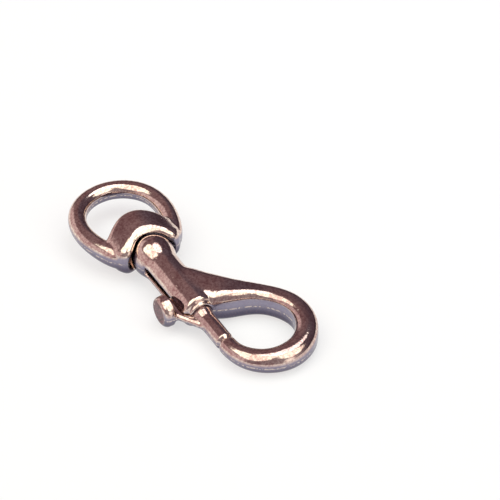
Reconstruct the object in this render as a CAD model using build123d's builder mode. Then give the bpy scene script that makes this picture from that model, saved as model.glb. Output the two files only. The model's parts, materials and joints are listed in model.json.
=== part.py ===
from build123d import *
import os
from math import asin, cos, degrees, radians, sin

# Swivel-eye bolt snap, cast in bronze: a hook body, a spring-loaded gate bolt and a swivel eye on a rivet.
# +X runs along the barrel from the eye to the bowl of the hook, +Y points to the hook's spine and +Z is up.
# The snap lies flat on Z = 0, with the origin under the middle of its outline. Millimetres.

# ---- hook body: barrel ----
dome_radius = 5.8  # the ball that the swivel eye turns on
dome_centre_x = -3.2  # along the barrel, from the middle of its collar
neck_radius = 4.8  # the barrel in front of the dome
cove_length = 5.6  # from the dome's middle to the plain neck
mouth_x = 22.4  # front face of the barrel
shoulder_round = 1.1  # where the barrel steps down to the collar at its mouth
collar_length = 0.9
collar_step = 1.2  # how much slimmer the collar is than the barrel
collar_round = 0.4
bore_radius = 2.8
bore_floor = 4.4  # metal between the bore and the end of the dome
bore_clearance = 0.07  # radial, round the bolt's rod
slot_height = 2.3  # for the bolt's web
slot_end_gap = 0.3
web_clearance = 0.2  # each side of the web in the slot
overcut = 1.0  # how far a cut runs past the face it opens

# ---- hook body: spine, bowl and nose ----
bowl_ahead = 13.0  # the bowl's centre, in front of the mouth
bowl_radius = 10.5  # centre line of the bar, which ends on the barrel's axis
spine_width = 5.3
spine_height = 7.8
bowl_thickness = 6.6
nose_thickness = 4.8
nose_reach = 0.8  # the nose's face, behind the bowl's centre
bar_roundness = 0.36  # corner radius of the spine's section, as a share of its width
full_round = 0.48  # the same where the bar is all but round
nose_gap = 0.3  # between the nose and the shut gate

# ---- bolt ----
gate_relief = 0.33  # how much slimmer the gate bar is than the rod
gate_tip_chamfer = 0.9
gate_sink = 0.5  # the open gate's tip, inside the mouth
rod_showing = 0.5  # of the shut bolt's rod, in front of the mouth
rod_taper = 2.0
knob_radius = 4.1
knob_lift = 0.5  # between the knob and the widest part of the barrel
knob_thickness = 2.9
knob_round = 1.4
neck_length = 6.6  # of the web, under the knob
neck_setback = 0.2  # its rear edge, in front of the rod's end
web_slope = 30  # of its edges, in degrees
web_reach = 5.6  # in front of the mouth, where the web runs out into the gate bar
web_overlap = 0.5  # into the knob and the gate bar

# ---- spring ----
spring_wire = 0.45
spring_turns = 7.0
spring_reserve = 0.6  # length left over the closed coils when the gate is open
spring_side_gap = 0.2  # between the coil and the bore
spring_seat_gap = 0.02

# ---- swivel rivet ----
shank_radius = 1.7
inner_head_gap = 0.25  # round the head in the bore
inner_head_thickness = 0.9
outer_head_radius = 2.6
outer_head_height = 1.2
head_gap = 0.1  # under the outer head
shank_clearance = 0.08

# ---- swivel eye ----
eye_setback = 4.5  # the ring's centre, behind the base's inner face
eye_radius = 11.65  # centre line of the ring
eye_bar = 5.0
socket_gap = 0.45  # between the dome and its socket
base_wall = 7.35  # metal between the socket and the base's inner face
base_side = 3.0  # beside the socket
rim_lip = 0.4  # how far the rim stands out past the dome
rim_setback = 2.8  # the middle of the rim, behind the dome's centre
flare = 1.9  # how far the socket's mouth opens out past the dome at its sides
flare_depth = 4.7  # along the barrel
flare_ahead = 0.3  # its front end, in front of the dome's centre

# ---- where things come along the barrel ----
bore_bottom_x = dome_centre_x - dome_radius + bore_floor
bowl_centre_x = mouth_x + bowl_ahead
nose_x = bowl_centre_x - nose_reach
gate_tip_x = nose_x - nose_gap
travel = gate_tip_x - mouth_x + gate_sink
spring_rear_x = bore_bottom_x + inner_head_thickness
rod_rear_x = spring_rear_x + (spring_turns + 1) * spring_wire + spring_reserve + travel
neck_rear_x = rod_rear_x + neck_setback
knob_x = neck_rear_x + neck_length / 2
socket_radius = dome_radius + socket_gap
base_rear_x = dome_centre_x - socket_radius - base_wall
base_rim_x = dome_centre_x - rim_setback
base_half_width = socket_radius + base_side
base_half_height = dome_radius + rim_lip
eye_centre_x = base_rear_x - eye_setback

# ---- where the barrel's axis lies in the part's frame ----
outline_back_x = eye_centre_x - eye_radius - eye_bar / 2
outline_front_x = bowl_centre_x + bowl_radius + bowl_thickness / 2
outline_low_y = -eye_radius - eye_bar / 2
outline_high_y = 2 * bowl_radius + spine_width / 2
axis_point = Vector(
    -(outline_back_x + outline_front_x) / 2,
    -(outline_low_y + outline_high_y) / 2,
    base_half_height,
)
plan = Plane(origin=axis_point, x_dir=(1, 0, 0), z_dir=(0, 0, 1))
barrel_axis = Axis(axis_point, (1, 0, 0))


def station(x, y, heading):
    """A section plane on the plan, square to the bar's heading in degrees, its own Y axis pointing up."""
    across = (-sin(radians(heading)), cos(radians(heading)), 0)
    along = (cos(radians(heading)), sin(radians(heading)), 0)
    return Plane(origin=plan.from_local_coords((x, y, 0)), x_dir=across, z_dir=along)


def ring_station(centre_x, centre_y, radius, angle, turn):
    """The section plane at an angle round a ring, facing the way that turn, +90 or -90 degrees, gives."""
    x = centre_x + radius * cos(radians(angle))
    y = centre_y + radius * sin(radians(angle))
    return station(x, y, angle + turn)


def between(first, last, share):
    return first + (last - first) * share


# ---- hook body ----
# the spine's way out of the barrel: ahead of the mouth and off the axis, in bowl radii, its heading,
# its width and height, in spine widths and heights, and how round it is
spine_stations = [
    (-1.32, 0.02, 30, 1.50, 1.00, 0.46),
    (-0.84, 0.28, 44, 1.86, 1.20, 0.36),
    (-0.32, 0.66, 57, 1.86, 1.20, 0.32),
    (0.00, 1.13, 61, 1.28, 1.10, 0.33),
    (0.32, 1.55, 47, 1.00, 1.00, bar_roundness),
]
bar_sections = []
for x, y, heading, width, height, roundness in spine_stations:
    plane = station(mouth_x + x * bowl_radius, y * bowl_radius, heading)
    bar_sections.append((plane, width * spine_width, height * spine_height, roundness))
for angle, share in ((112, 0.0), (84, 0.15), (56, 0.4), (28, 0.75), (0, 1.0)):
    plane = ring_station(bowl_centre_x, bowl_radius, bowl_radius, angle, -90)
    width = between(spine_width, bowl_thickness, share)
    height = between(spine_height, bowl_thickness, share)
    bar_sections.append((plane, width, height, between(bar_roundness, full_round, share)))
for angle, share in ((-30, 0.35), (-60, 0.7), (-90, 1.0)):
    plane = ring_station(bowl_centre_x, bowl_radius, bowl_radius, angle, -90)
    size = between(bowl_thickness, nose_thickness, share)
    bar_sections.append((plane, size, size, full_round))
bar_sections.append((station(nose_x, 0, 180), nose_thickness, nose_thickness, full_round))

with BuildPart() as hook_body:
    for plane, width, height, roundness in bar_sections:
        with BuildSketch(plane):
            RectangleRounded(width, height, roundness * min(width, height))
    loft()
    with BuildSketch(plan):
        neck_start_x = dome_centre_x + cove_length
        with BuildLine():
            CenterArc((dome_centre_x, 0), dome_radius, 90, 90)
            Spline(
                (dome_centre_x, dome_radius),
                (neck_start_x, neck_radius),
                tangents=[(1, 0), (1, 0)],
            )
            shoulder_x = mouth_x - collar_length
            collar_radius = neck_radius - collar_step
            arc_x = shoulder_x - shoulder_round
            Line((neck_start_x, neck_radius), (arc_x, neck_radius))
            CenterArc((arc_x, neck_radius - shoulder_round), shoulder_round, 0, 90)
            Polyline(
                (shoulder_x, neck_radius - shoulder_round),
                (shoulder_x, collar_radius),
                (mouth_x - collar_round, collar_radius),
            )
            CenterArc((mouth_x - collar_round, collar_radius - collar_round), collar_round, 0, 90)
            Polyline(
                (mouth_x, collar_radius - collar_round),
                (mouth_x, 0),
                (dome_centre_x - dome_radius, 0),
            )
        make_face()
    revolve(axis=barrel_axis)
    with BuildSketch(station(bore_bottom_x, 0, 0)):
        Circle(bore_radius)
    extrude(amount=mouth_x + overcut - bore_bottom_x, mode=Mode.SUBTRACT)
    with BuildSketch(station(bore_bottom_x, 0, 180)):
        Circle(shank_radius)
    extrude(amount=bore_floor + overcut, mode=Mode.SUBTRACT)
    with BuildSketch(plan):
        slot_rear_x = neck_rear_x - travel - slot_end_gap
        slot_side_y = -dome_radius - overcut
        with BuildLine():
            Polyline(
                (slot_rear_x, 0),
                (mouth_x + overcut, 0),
                (mouth_x + overcut, slot_side_y),
                (slot_rear_x, slot_side_y),
                close=True,
            )
        make_face()
    extrude(amount=slot_height / 2, both=True, mode=Mode.SUBTRACT)
hook_body.part.label = "hook_body"

# ---- bolt: rod, gate bar, web and knob ----
rod_radius = bore_radius - bore_clearance
gate_radius = rod_radius - gate_relief
web_thickness = slot_height - 2 * web_clearance
web_end_x = mouth_x + web_reach
knob_inner_y = -dome_radius - knob_lift
with BuildPart() as bolt:
    with BuildSketch(plan):
        with BuildLine():
            Polyline(
                (rod_rear_x, 0),
                (rod_rear_x, rod_radius),
                (mouth_x + rod_showing, rod_radius),
                (mouth_x + rod_showing + rod_taper, gate_radius),
                (gate_tip_x - gate_tip_chamfer, gate_radius),
                (gate_tip_x, gate_radius - gate_tip_chamfer),
                (gate_tip_x, 0),
                close=True,
            )
        make_face()
    revolve(axis=barrel_axis)
    with BuildSketch(plan):
        with BuildLine():
            Polyline(
                (neck_rear_x, 0),
                (neck_rear_x, knob_inner_y - web_overlap),
                (neck_rear_x + neck_length, knob_inner_y - web_overlap),
                (web_end_x, web_overlap - gate_radius),
                (web_end_x, 0),
                close=True,
            )
        make_face()
    extrude(amount=web_thickness / 2, both=True, taper=web_slope)
    knob_centre = plan.from_local_coords((knob_x, knob_inner_y, 0))
    with BuildSketch(Plane(origin=knob_centre, x_dir=(1, 0, 0), z_dir=(0, -1, 0))):
        Circle(knob_radius)
    extrude(amount=knob_thickness)
    fillet(bolt.faces().sort_by(Axis.Y)[0].edges(), knob_round)
bolt.part.label = "bolt"

# ---- spring ----
coil_radius = bore_radius - spring_side_gap - spring_wire / 2
coil_height = rod_rear_x - spring_rear_x - 2 * spring_seat_gap - spring_wire
coil_start_x = spring_rear_x + spring_seat_gap + spring_wire / 2
with BuildPart() as bolt_spring:
    with BuildLine() as coil:
        Helix(
            pitch=coil_height / spring_turns,
            height=coil_height,
            radius=coil_radius,
            center=plan.from_local_coords((coil_start_x, 0, 0)),
            direction=(1, 0, 0),
        )
    with BuildSketch(Plane(origin=coil.line @ 0, z_dir=coil.line % 0)):
        Circle(spring_wire / 2)
    sweep(is_frenet=True)
bolt_spring.part.label = "bolt_spring"

# ---- swivel rivet: a flat head in the bore, a shank and a round head in the eye ----
inner_head_radius = bore_radius - inner_head_gap
head_face_x = base_rear_x - head_gap
head_end_x = head_face_x - outer_head_height
cap_radius = (outer_head_radius**2 + outer_head_height**2) / (2 * outer_head_height)
cap_angle = degrees(asin(outer_head_radius / cap_radius))
with BuildPart() as swivel_rivet:
    with BuildSketch(plan):
        with BuildLine():
            CenterArc((head_end_x + cap_radius, 0), cap_radius, 180, -cap_angle)
            Polyline(
                (head_face_x, outer_head_radius),
                (head_face_x, shank_radius),
                (bore_bottom_x, shank_radius),
                (bore_bottom_x, inner_head_radius),
                (spring_rear_x, inner_head_radius),
                (spring_rear_x, 0),
                (head_end_x, 0),
            )
        make_face()
    revolve(axis=barrel_axis)
swivel_rivet.part.label = "swivel_rivet"

# ---- swivel eye ----
# each leg of the ring: ahead of the ring's centre and off the axis, in ring radii, its heading,
# its width and height, in bar thicknesses
leg_stations = [
    (1.26, 0.62, -38, 0.96, 1.26),
    (0.94, 0.83, -26, 1.02, 1.22),
    (0.54, 0.96, -12, 1.02, 1.12),
]
eye_sections = []
for x, y, heading, width, height in leg_stations:
    plane = station(eye_centre_x + x * eye_radius, y * eye_radius, heading + 180)
    eye_sections.append((plane, width * eye_bar, height * eye_bar))
for angle in (100, 126, 153, 180, 207, 234, 260):
    plane = ring_station(eye_centre_x, 0, eye_radius, angle, 90)
    eye_sections.append((plane, eye_bar, eye_bar))
for x, y, heading, width, height in reversed(leg_stations):
    plane = station(eye_centre_x + x * eye_radius, -y * eye_radius, -heading)
    eye_sections.append((plane, width * eye_bar, height * eye_bar))

# the base from its middle to its end: off the axis, in half widths, its front past the rim and its rear
# past the inner face, in walls, its height, in full heights, and the rounding of its front
base_stations = [
    (0.00, 0.00, 0.00, 1.00, 0.14),
    (0.38, 0.13, 0.11, 0.94, 0.14),
    (0.72, 0.32, 0.38, 0.76, 0.15),
    (1.00, 0.10, 0.60, 0.50, 0.24),
]
base_sections = [(-y, *shape) for y, *shape in reversed(base_stations)] + base_stations[1:]
rear_rounding = 0.3

with BuildPart() as swivel_eye:
    for plane, width, height in eye_sections:
        with BuildSketch(plane):
            RectangleRounded(width, height, full_round * min(width, height))
    loft()
    for y, front, rear, height, front_rounding in base_sections:
        front_x = base_rim_x + front * base_wall
        rear_x = base_rear_x + rear * base_wall
        height = height * 2 * base_half_height
        with BuildSketch(station((front_x + rear_x) / 2, y * base_half_width, 90)) as section:
            Rectangle(front_x - rear_x, height)
            fillet(section.vertices().group_by(Axis.X)[0], rear_rounding * height)
            fillet(section.vertices().group_by(Axis.X)[-1], front_rounding * height)
    loft()
    with BuildSketch(plan):
        with BuildLine():
            CenterArc((dome_centre_x, 0), socket_radius, 90, 90)
            Polyline(
                (dome_centre_x, socket_radius),
                (dome_centre_x + dome_radius, socket_radius),
                (dome_centre_x + dome_radius, 0),
                (dome_centre_x - socket_radius, 0),
            )
        make_face()
    revolve(axis=barrel_axis, mode=Mode.SUBTRACT)
    flare_x = dome_centre_x + flare_ahead
    with BuildSketch(station(flare_x, 0, 180)):
        Ellipse(dome_radius + flare, base_half_height - rim_lip)
    with BuildSketch(station(flare_x - flare_depth, 0, 180)):
        Circle(socket_radius - flare)
    loft(mode=Mode.SUBTRACT)
    with BuildSketch(station(bore_bottom_x, 0, 180)):
        Circle(shank_radius + shank_clearance)
    extrude(amount=bore_bottom_x - base_rear_x + overcut, mode=Mode.SUBTRACT)
swivel_eye.part.label = "swivel_eye"

os.makedirs("parts", exist_ok=True)
export_step(hook_body.part, "parts/hook_body.step")
export_step(bolt.part, "parts/bolt.step")
export_step(bolt_spring.part, "parts/bolt_spring.step")
export_step(swivel_rivet.part, "parts/swivel_rivet.step")
export_step(swivel_eye.part, "parts/swivel_eye.step")
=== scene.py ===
# %% [markdown]
# # A cast bronze swivel snap hook
# The snap is five pieces: a hook casting with a hollow barrel, a bolt that slides in it and shuts the hook,
# the bolt's spring, a ring-shaped swivel eye, and the rivet that holds the eye on the barrel's round end.
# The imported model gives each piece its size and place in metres. This script gives them their finish.

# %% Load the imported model
import json
import math

import bpy
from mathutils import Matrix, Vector


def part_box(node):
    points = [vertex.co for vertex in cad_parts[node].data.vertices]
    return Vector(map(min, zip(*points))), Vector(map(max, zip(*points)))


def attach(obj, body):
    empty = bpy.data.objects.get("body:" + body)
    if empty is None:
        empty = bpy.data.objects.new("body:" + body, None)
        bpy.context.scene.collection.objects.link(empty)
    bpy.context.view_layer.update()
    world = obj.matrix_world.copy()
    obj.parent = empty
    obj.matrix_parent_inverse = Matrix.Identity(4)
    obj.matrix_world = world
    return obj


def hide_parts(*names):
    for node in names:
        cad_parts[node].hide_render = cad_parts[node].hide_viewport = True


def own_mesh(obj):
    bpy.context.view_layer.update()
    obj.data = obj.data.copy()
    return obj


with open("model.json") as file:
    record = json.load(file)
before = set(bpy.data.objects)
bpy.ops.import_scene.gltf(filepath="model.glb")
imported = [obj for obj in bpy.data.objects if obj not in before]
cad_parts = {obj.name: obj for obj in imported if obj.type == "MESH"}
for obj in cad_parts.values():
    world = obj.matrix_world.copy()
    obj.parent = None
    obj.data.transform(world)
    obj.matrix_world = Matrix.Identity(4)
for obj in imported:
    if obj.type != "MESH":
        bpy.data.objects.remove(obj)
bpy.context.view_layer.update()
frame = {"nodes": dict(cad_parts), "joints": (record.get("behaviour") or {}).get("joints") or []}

MM = 0.001
nodes = frame["nodes"]
joints = {joint["name"]: joint for joint in frame["joints"]}
axis_y, axis_z = joints["eye_swivel"]["pos_m"][1:]
hook_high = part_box("hook_body")[1]
bolt_low, bolt_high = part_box("bolt")
print("pieces:", sorted(nodes), "barrel axis at y", axis_y, "z", axis_z)

# %% [markdown]
# ## Soft castings
# A casting has no sharp edge: sand rounds each corner, and tumbling and buffing round it again. The machined
# solids have crisp edges and creases where two forms meet. A Bevel modifier could round them, but it needs
# tidy faces along each edge, and a solid's mesh is loose triangles. So each visible casting is a copy: its
# doubles are merged, a voxel remesh turns it into even small quads, and a few passes of smoothing melt its
# edges and creases by a fraction of a millimetre.

# %% A copy that stands for a solid
merge_distance = 0.001 * MM


def pick(piece):
    """Selects this piece alone and makes it the active one, for the operators that follow."""
    bpy.ops.object.select_all(action="DESELECT")
    bpy.context.view_layer.objects.active = piece
    piece.select_set(True)


def stand_in(node, name, body):
    """A merged copy of a solid's mesh, which rides on the same body and stands for the solid."""
    piece = bpy.data.objects.new(name, nodes[node].data.copy())
    bpy.context.scene.collection.objects.link(piece)
    piece.data.materials.clear()
    pick(piece)
    bpy.ops.object.mode_set(mode="EDIT")
    bpy.ops.mesh.select_all(action="SELECT")
    bpy.ops.mesh.remove_doubles(threshold=merge_distance)
    bpy.ops.object.mode_set(mode="OBJECT")
    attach(piece, body)
    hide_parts(node)
    return piece


# %% The three castings that show, with melted edges
def melt(piece, passes, group=""):
    """Smooths a piece, or only where a vertex group says so."""
    smooth = piece.modifiers.new("melt", "SMOOTH")
    smooth.factor = 0.5
    smooth.iterations = passes
    smooth.vertex_group = group
    bpy.ops.object.modifier_apply(modifier=smooth.name)


def cast_copy(node, name, body, voxel, passes):
    """A stand-in with its edges softened as on a casting."""
    piece = stand_in(node, name, body)
    remesh = piece.modifiers.new("even quads", "REMESH")
    remesh.mode = "VOXEL"
    remesh.voxel_size = voxel
    remesh.use_smooth_shade = True
    bpy.ops.object.modifier_apply(modifier=remesh.name)
    melt(piece, passes)
    bpy.ops.object.shade_smooth()
    print(name, len(piece.data.polygons), "quads")
    return piece


hook_casting = cast_copy("hook_body", "hook_casting", "hook", voxel=0.21 * MM, passes=12)
eye_casting = cast_copy("swivel_eye", "eye_casting", "eye", voxel=0.20 * MM, passes=12)
bolt_casting = cast_copy("bolt", "bolt_casting", "gate", voxel=0.15 * MM, passes=6)

# %% [markdown]
# ## Places that are rounder
# Some places are rounder still. The spine grows out of the barrel with no crease, the lips of the slot are
# worn by the bolt, and the web between the knob and the gate bar is filed to a smooth ridge. Sculpting by
# hand would do it, but a line between two points is easier to set again: vertices near the line go into a
# group, and only they are smoothed. The bore stays true, because the bolt slides in it.

# %% Melting along a line
def melt_along(piece, start, end, reach, passes, bore=0.0):
    """Melts what lies within reach of a line, most near the line itself, and leaves the bore alone."""
    pick(piece)
    start, end = Vector(start), Vector(end)
    along = end - start
    group = piece.vertex_groups.new(name="near")
    melted = 0
    for vertex in piece.data.vertices:
        share = (vertex.co - start).dot(along) / along.length_squared
        gap = (vertex.co - start - along * min(max(share, 0), 1)).length
        from_axis = math.hypot(vertex.co.y - axis_y, vertex.co.z - axis_z)
        if gap < reach and from_axis > bore:
            group.add([vertex.index], min(1, 2 - 2 * gap / reach), "REPLACE")
            melted += 1
    melt(piece, passes, group.name)
    piece.vertex_groups.remove(piece.vertex_groups["near"])
    print(piece.name, "melted along", round(along.length / MM, 1), "mm,", melted, "vertices")


# %% Where the barrel's mouth, the knob and the slot are
barrel_radius = 4.8 * MM
bore_wall = 3.3 * MM
gate_showing = 11.9 * MM
knob_past_rear = 3.5 * MM
slot_behind_bolt = 12.5 * MM
mouth_x = bolt_high.x - gate_showing
knob_x = bolt_low.x + knob_past_rear
slot_rear_x = bolt_low.x - slot_behind_bolt
print("mouth at x", mouth_x, "knob near", knob_x, "slot from", slot_rear_x)


def at(x, across, rise=0.0):
    """A point beside the barrel's axis, to the spine's side and above it."""
    return (x, axis_y + across, axis_z + rise)


# %% The spine's root, the slot's lips and the bolt's web
root_rise, root_reach, root_passes = 4 * MM, 4.2 * MM, 240
for rise in (-root_rise, root_rise):
    root_start = at(mouth_x - 16 * MM, 3.8 * MM, rise)
    root_end = at(mouth_x - 5 * MM, 4.6 * MM, rise)
    melt_along(hook_casting, root_start, root_end, root_reach, root_passes, bore_wall)

lip_rise, lip_reach = 1.15 * MM, 1.7 * MM
for rise, lip_passes in ((-lip_rise, 60), (lip_rise, 25)):
    lip_start = at(slot_rear_x + 1 * MM, -barrel_radius, rise)
    lip_end = at(mouth_x - 0.5 * MM, -barrel_radius, rise)
    melt_along(hook_casting, lip_start, lip_end, lip_reach, lip_passes, bore_wall)

web_reach, web_passes = 3.2 * MM, 90
web_start, web_end = at(knob_x + 2 * MM, -6.8 * MM), at(mouth_x + 5.6 * MM, -3 * MM)
melt_along(bolt_casting, web_start, web_end, web_reach, web_passes)

# %% [markdown]
# ## Shader maths
# A material is a graph of nodes. They could be added and linked one by one, but that hides the sums that
# they make. Wrapping a socket in a small class lets the sums be written as plain expressions, and one method
# adds every other kind of node.

# %% A socket that can be added and multiplied
class Wire:
    """A socket of a node tree. Arithmetic on wires and numbers adds the Math nodes."""

    def __init__(self, tree, socket=None):
        self.tree = tree
        self.socket = socket

    def node(self, kind, settings, values, out=0):
        """Adds a node: its settings first, then the values of its inputs or the wires that feed them."""
        made = self.tree.nodes.new(kind)
        for name, value in settings.items():
            setattr(made, name, value)
        for key, value in values.items():
            if isinstance(value, Wire):
                self.tree.links.new(value.socket, made.inputs[key])
            else:
                made.inputs[key].default_value = value
        return Wire(self.tree, made.outputs[out] if made.outputs else None)

    def maths(self, operation, first, second=0.0):
        """A Math node on two wires or numbers."""
        return self.node("ShaderNodeMath", {"operation": operation}, {0: first, 1: second})

    def part(self, letter):
        """One of a vector's three numbers: X, Y or Z."""
        return self.node("ShaderNodeSeparateXYZ", {}, {"Vector": self}, out=letter)

    def step(self, low, high):
        """0 where this value is at or under low, 1 where it is at or over high, smooth between."""
        settings = {"interpolation_type": "SMOOTHSTEP"}
        values = {"Value": self, "From Min": low, "From Max": high}
        return self.node("ShaderNodeMapRange", settings, values)

    def mix(self, share, first, second):
        """A colour between two. A Mix node takes colours at inputs 6 and 7 and gives one at output 2."""
        values = {"Factor": share, 6: first, 7: second}
        return self.node("ShaderNodeMix", {"data_type": "RGBA"}, values, out=2)

    def layers(self, colour, coats):
        """A first colour with coats laid over it in turn, each by its own share."""
        for share, coat in coats:
            colour = self.mix(share, colour, coat)
        return colour

    def __add__(self, other):
        return self.maths("ADD", self, other)

    def __sub__(self, other):
        return self.maths("SUBTRACT", self, other)

    def __rsub__(self, other):
        return self.maths("SUBTRACT", other, self)

    def __mul__(self, other):
        return self.maths("MULTIPLY", self, other)

    def __abs__(self):
        return self.maths("ABSOLUTE", self)


# %% [markdown]
# ## Metal
# Both finishes are metal with patterns in it. The patterns could be painted on an unwrapped piece, but noise
# that reads the piece's own coordinates needs no unwrapping and has no seams. Those coordinates are turned
# into millimetres, so that each pattern's size can be written as on the real thing.

# %% What the two metals share
def new_material(name):
    """An empty material and a wire into its tree."""
    material = bpy.data.materials.new(name)
    material.use_nodes = True
    material.node_tree.nodes.clear()
    return material, Wire(material.node_tree)


def finish_material(wire, surface):
    wire.node("ShaderNodeOutputMaterial", {}, {"Surface": surface})


def place_in_mm(wire):
    """Where a point lies on its piece, in millimetres."""
    place = wire.node("ShaderNodeTexCoord", {}, {}, out="Object")
    return wire.node("ShaderNodeVectorMath", {"operation": "SCALE"}, {0: place, "Scale": 1 / MM})


def noise(place, scale, detail, roughness=0.5):
    """Soft random patches, with about so many of them to the millimetre."""
    values = {"Vector": place, "Scale": scale, "Detail": detail, "Roughness": roughness}
    return place.node("ShaderNodeTexNoise", {}, values)


def finish_metal(wire, colour, rough, relief, strength, depth):
    """A metal surface whose relief stands so many metres high where it is 1."""
    bump_values = {"Height": relief, "Strength": strength, "Distance": depth}
    bump = wire.node("ShaderNodeBump", {}, bump_values)
    values = {"Base Color": colour, "Metallic": 1.0, "Roughness": rough, "Normal": bump}
    finish_material(wire, wire.node("ShaderNodeBsdfPrincipled", {}, values))
    print("nodes in the finish:", len(wire.tree.nodes))


# %% [markdown]
# ## Bronze
# Polished bronze is a warm pinkish metal. Handling leaves it mottled: thin brown tarnish in blotches a
# millimetre or so across, duller than the clean metal between them, and it is browner from the barrel's
# mouth on. The walls are painted a cool grey, a painted reflection of the shaded table, and painted darker
# low down as painted shade. Half way up the walls runs the fine line where the mould's halves met. Edges
# are painted lighter, partly as rubbed wear and partly as a painted highlight, creases are painted darker,
# partly as dirt and partly as painted shade, and the knob's face has a dark red oxide. One mottled colour
# all over would be simpler, but these places are what tells a casting from a turned part. So each is found
# by a value of its own, from 0 to 1, and the colours are then laid by them.

# %% The bronze's patterns
bronze, wire = new_material("mottled_bronze")
place = place_in_mm(wire)
blotch = noise(place, 1.5, detail=3.0, roughness=0.6).step(0.36, 0.66)
cloud = noise(place, 0.22, detail=2.0).step(0.35, 0.68)
tarnish = blotch * 0.6 + cloud * 0.35
grain = noise(place, 4.5, detail=2.0)
peel = noise(place, 1.1, detail=1.0)
cells = wire.node("ShaderNodeTexVoronoi", {}, {"Vector": place, "Scale": 0.55, "Randomness": 1.0})
pit = 1 - cells.step(0.04, 0.14)
print("nodes for tarnish, grain, orange peel and pits:", len(wire.tree.nodes))

# %% Where the bronze's painted reflection, painted shade, painted highlight, mould line and wear lie
# Distances in millimetres.
face_flat, face_rim = 2.9, 3.8
# Heights beside the axis where the painted shade low on the walls is full, and where it ends.
shade_full_below, shade_gone_above = -2.4, 1.4
line_core, line_edge = 0.14, 0.30
browner_from, browner_fully = -4.0, 5.0
# The rise of the surface's normal, from -1 under the snap to 1 on top.
wall_steep, wall_gentle = 0.06, 0.44
under_flat, under_steep = -0.9, -0.6
# Pointiness: 0.5 is flat, more is an edge and less is a crease.
edge_soft, edge_sharp = 0.505, 0.53
crease_sharp, crease_soft = 0.44, 0.49

facing_up = wire.node("ShaderNodeTexCoord", {}, {}, out="Normal").part("Z")
above_axis = place.part("Z") - axis_z / MM
ahead_of_mouth = place.part("X") - mouth_x / MM
knob_face = Vector((knob_x, bolt_low.y, axis_z)) / MM
distance = {"operation": "DISTANCE"}
from_face = wire.node("ShaderNodeVectorMath", distance, {0: place, 1: knob_face}, out="Value")
bend = wire.node("ShaderNodeNewGeometry", {}, {}, out="Pointiness")

face = 1 - from_face.step(face_flat, face_rim)
steep = 1 - facing_up.step(wall_steep, wall_gentle)
# Painted reflection: steep walls, but not the knob's face, take the cool grey of the shaded table.
wall = steep * facing_up.step(under_flat, under_steep) * (1 - face)
# Painted shade: the walls darken towards the bottom.
shade_low_on_wall = wall * (1 - above_axis.step(shade_full_below, shade_gone_above))
mould_line = wall * (1 - abs(above_axis).step(line_core, line_edge)) * blotch.step(0.3, 0.5)
# Edges are painted lighter, partly as rubbed wear and partly as a painted highlight.
wear_and_highlight = bend.step(edge_soft, edge_sharp) * (1 - wall * 0.85)
# Creases are painted darker, partly as dirt and partly as painted shade.
crease_shade_and_grime = 1 - bend.step(crease_sharp, crease_soft)
browner_share = ahead_of_mouth.step(browner_from, browner_fully)
print("the knob's face is at", [round(length, 2) for length in knob_face], "mm")

# %% The bronze's colours
clean_metal = (0.90, 0.755, 0.635, 1)
brown_tarnish = (0.43, 0.245, 0.225, 1)
mouth_brown = (0.34, 0.19, 0.20, 1)
# The next two colours are painted light: a grey painted reflection of the shaded table on the walls, and
# near-black painted shade low on them.
painted_wall_reflection = (0.235, 0.23, 0.325, 1)
painted_low_shade = (0.065, 0.06, 0.10, 1)
red_oxide, black_oxide = (0.20, 0.065, 0.085, 1), (0.02, 0.008, 0.012, 1)
grime_and_shade = (0.15, 0.08, 0.07, 1)
coats = (
    (browner_share * 0.2, mouth_brown),
    # A painted reflection on the walls, then painted shade low on them.
    (wall * 0.9, painted_wall_reflection),
    (shade_low_on_wall * 0.92, painted_low_shade),
    (face * 0.97, wire.mix(blotch, red_oxide, black_oxide)),
    # Edges painted lighter as wear and as a painted highlight.
    (wear_and_highlight * 0.5, clean_metal),
    (mould_line * 0.5, clean_metal),
    # Creases painted darker as dirt and as painted shade.
    (crease_shade_and_grime * 0.8, grime_and_shade),
    (grain.step(0.52, 0.75) * 0.35 * (1 - face), brown_tarnish),
)
bronze_colour = wire.layers(wire.mix(tarnish, clean_metal, brown_tarnish), coats)
print("coats over the mottled metal:", len(coats))

# %% The bronze's gloss and relief
bronze_rough = tarnish * 0.07 + grain * 0.05 + wall * 0.08 + face * 0.15 + 0.05
bronze_relief = grain * 0.2 + peel * 0.7 + blotch * face + mould_line - pit * 0.5
finish_metal(wire, bronze_colour, bronze_rough, bronze_relief, strength=1.0, depth=0.03 * MM)
for piece in (hook_casting, eye_casting, bolt_casting, nodes["swivel_rivet"]):
    piece.data.materials.clear()
    piece.data.materials.append(bronze)
    print(piece.name, "is bronze")

# %% [markdown]
# ## Spring wire
# The spring is drawn steel wire. Drawing leaves fine scratches and a grey film, so its colour and gloss vary
# a little in patches shorter than a turn. Scratches could follow the wire if it had a map of its own, but
# only a few turns show through the slot, so two noises are enough.

# %% The wire of the spring
drawn_steel, wire = new_material("drawn_wire")
place = place_in_mm(wire)
film = noise(place, 1.6, detail=3.0)
scratch = noise(place, 9.0, detail=1.0)
bright_steel, filmed_steel = (0.42, 0.42, 0.43, 1), (0.22, 0.21, 0.20, 1)
steel_colour = wire.mix(film.step(0.35, 0.65), bright_steel, filmed_steel)
steel_rough = film * 0.2 + scratch * 0.1 + 0.2
finish_metal(wire, steel_colour, steel_rough, scratch, strength=0.4, depth=0.01 * MM)

# %% [markdown]
# ## The spring
# The coil is held between the bore's bottom and the bolt, and its turns close up as the bolt comes back. A
# coil for each place of the bolt would be truest, but one mesh serves them all: a copy of the spring that
# rides on the hook and keeps its length.

# %% The spring, which rides on the hook
spring_coil = stand_in("bolt_spring", "spring_coil", "hook")
bpy.ops.object.shade_smooth()
spring_coil.data.materials.append(drawn_steel)
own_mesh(spring_coil)

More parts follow.
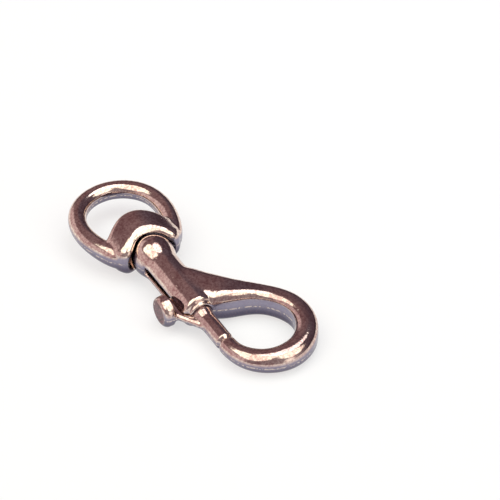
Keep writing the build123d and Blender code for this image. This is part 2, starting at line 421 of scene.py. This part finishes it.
# %% [markdown]
# ## The table
# The snap's thickest part is the eye's base and its thinnest the bowl, so on a table its barrel leans a few
# degrees. Turning the snap would be the natural way, but the frame keeps its barrel level, so the table is
# tipped by that angle instead, and touches both.

# %% A table that touches the eye's base and the bowl
bowl_half_height = 3.3 * MM
table_size = 6.0
base_touch_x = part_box("swivel_eye")[1].x
bowl_touch_x = hook_high.x - bowl_half_height
bowl_low_z = axis_z - bowl_half_height
lean = math.atan2(bowl_low_z, bowl_touch_x - base_touch_x)
bpy.ops.object.select_all(action="DESELECT")
bpy.ops.mesh.primitive_plane_add(size=table_size)
table = bpy.context.object
table.name = "table"
table.rotation_euler = (0, -lean, 0)
table.location = (base_touch_x, 0, 0)
print("the table leans", round(math.degrees(lean), 2), "degrees")

# %% [markdown]
# The table's top is matt and nearly white, and shows the snap's soft shadow. More light would whiten it but
# bleach the metal too. So it also glows a little, and only where the camera or a reflection looks at it.

# %% The table's pale top
glow_share = 0.6
matt_white = {"Base Color": (0.94, 0.94, 0.96, 1), "Roughness": 0.9, "Specular IOR Level": 0.0}
pale_top, wire = new_material("pale_table")
matt = wire.node("ShaderNodeBsdfPrincipled", {}, matt_white)
glow = wire.node("ShaderNodeEmission", {}, {"Color": (1, 1, 1, 1), "Strength": 1.0})
seen = wire.node("ShaderNodeLightPath", {}, {}, out="Is Camera Ray")
seen = seen + wire.node("ShaderNodeLightPath", {}, {}, out="Is Glossy Ray")
finish_material(wire, wire.node("ShaderNodeMixShader", {}, {0: seen * glow_share, 1: matt, 2: glow}))
table.data.materials.append(pale_top)
print("share of the glow where the table is seen:", glow_share)

# %% [markdown]
# ## The camera
# A long lens a little under half a metre away looks down on the snap from the side of the knob and the nose.
# A wide lens nearer by would fill the view as well, but would swell the bowl and shrink the eye.

# %% The camera
view_turn = math.radians(59)
view_height = math.radians(42)
view_distance = 0.468
aim_back, aim_right, aim_up = 34.3, 23.56, 3.48
to_camera = Vector(
    (
        math.sin(view_turn) * math.cos(view_height),
        -math.cos(view_turn) * math.cos(view_height),
        math.sin(view_height),
    )
)
right = Vector((math.cos(view_turn), math.sin(view_turn), 0))
up = to_camera.cross(right)
barrel_point = Vector((bolt_high.x - aim_back * MM, axis_y, axis_z))
aim = barrel_point + right * aim_right * MM + up * aim_up * MM

lens = bpy.data.cameras.new("camera")
lens.sensor_width = 36
lens.lens = 129.6
lens.clip_start = 0.01
lens.clip_end = 20
camera = bpy.data.objects.new("camera", lens)
bpy.context.scene.collection.objects.link(camera)
camera.location = aim + to_camera * view_distance
camera.rotation_euler = to_camera.to_track_quat("Z", "Y").to_euler()
bpy.context.scene.camera = camera
print("camera at", [round(length, 3) for length in camera.location], "with a lens of", lens.lens, "mm")

# %% [markdown]
# ## The light
# Polished metal shows what is round it more than its own colour. Lamps alone would give it a few hard spots
# in a black room. So the room is drawn by direction: dark behind, dim and warm to the left, a plain wall on
# the camera's side, a pale wall low on the left with a dark skirting under it, and round cream panels where
# the castings' rounded edges should catch a highlight. A lamp overhead gives the table its light and the
# snap its soft shadow.

# %% Directions in the room
studio = bpy.data.worlds.new("studio")
bpy.context.scene.world = studio
studio.use_nodes = True
studio.node_tree.nodes.clear()
wire = Wire(studio.node_tree)
look = wire.node("ShaderNodeTexCoord", {}, {}, out="Generated")
level_to_camera = Vector((math.sin(view_turn), -math.cos(view_turn), 0))


def compass(turn, rise):
    """The direction that lies so many degrees to the right of the camera's side and so many up."""
    turn, rise = math.radians(turn), math.radians(rise)
    level = level_to_camera * math.cos(turn) + right * math.sin(turn)
    return level * math.cos(rise) + Vector((0, 0, math.sin(rise)))


def towards(direction):
    """How nearly the view into the room runs along a direction, from -1 to 1."""
    settings = {"operation": "DOT_PRODUCT"}
    return wire.node("ShaderNodeVectorMath", settings, {0: look, 1: direction}, out="Value")


def disc(turn, rise, half_angle, edge):
    """1 inside a round panel that stands in that direction, 0 outside, with a soft edge, in degrees."""
    outer = math.cos(math.radians(half_angle + edge))
    inner = math.cos(math.radians(half_angle - edge))
    return towards(compass(turn, rise)).step(outer, inner)


# %% The room's walls and panels
dark_room, dim_room = (0.115, 0.085, 0.115, 1), (0.24, 0.155, 0.175, 1)
plain_wall, pale_wall = (0.35, 0.30, 0.33, 1), (0.72, 0.57, 0.60, 1)
dark_skirting = (0.03, 0.02, 0.03, 1)
cream_panel, low_panel = (2.05, 2.05, 1.85, 1), (1.3, 1.25, 1.2, 1)
cream_discs = ((-44, 60, 25, 2), (-114, 68, 13, 3), (-86, 56, 14, 3), (64, 50, 22, 3), (-20, 82, 17, 3))
low_disc = (45, 14, 13, 4)

height = towards(Vector((0, 0, 1)))
to_the_left = towards(compass(-90, 0)).step(-0.16, 0.12)
camera_side = towards(compass(0, 0)).step(-0.1, 0.4)
left_wall = towards(compass(-95, 14)).step(0.56, 0.72) * (1 - height.step(0.55, 0.59))
skirting = height.step(0.01, 0.08) * (1 - height.step(0.25, 0.42)) * (1 - camera_side)
coats = [(camera_side, plain_wall), (skirting * 0.45, dark_skirting), (left_wall, pale_wall)]
coats += [(disc(*sizes), cream_panel) for sizes in cream_discs]
coats += [(disc(*low_disc), low_panel)]
room_colour = wire.layers(wire.mix(to_the_left, dark_room, dim_room), coats)
background = wire.node("ShaderNodeBackground", {}, {"Color": room_colour, "Strength": 1.0})
wire.node("ShaderNodeOutputWorld", {}, {"Surface": background})
print("walls and panels in the room:", len(coats))

# %% The overhead lamp
lamp_turn, lamp_rise, lamp_distance = 140, 72, 0.9
lamp_disk = bpy.data.lights.new("overhead", "AREA")
lamp_disk.shape = "DISK"
lamp_disk.size = 0.6
lamp_disk.energy = 2.0
lamp = bpy.data.objects.new("overhead", lamp_disk)
bpy.context.scene.collection.objects.link(lamp)
lamp_place = compass(lamp_turn, lamp_rise) * lamp_distance
lamp.location = lamp_place
lamp.rotation_euler = lamp_place.to_track_quat("Z", "Y").to_euler()
print("lamp at", [round(length, 2) for length in lamp_place], "with", lamp_disk.energy, "watts")

# %% [markdown]
# ## Colour
# The plain Standard transform keeps each colour as written.

# %% Finish
bpy.context.scene.view_settings.view_transform = "Standard"
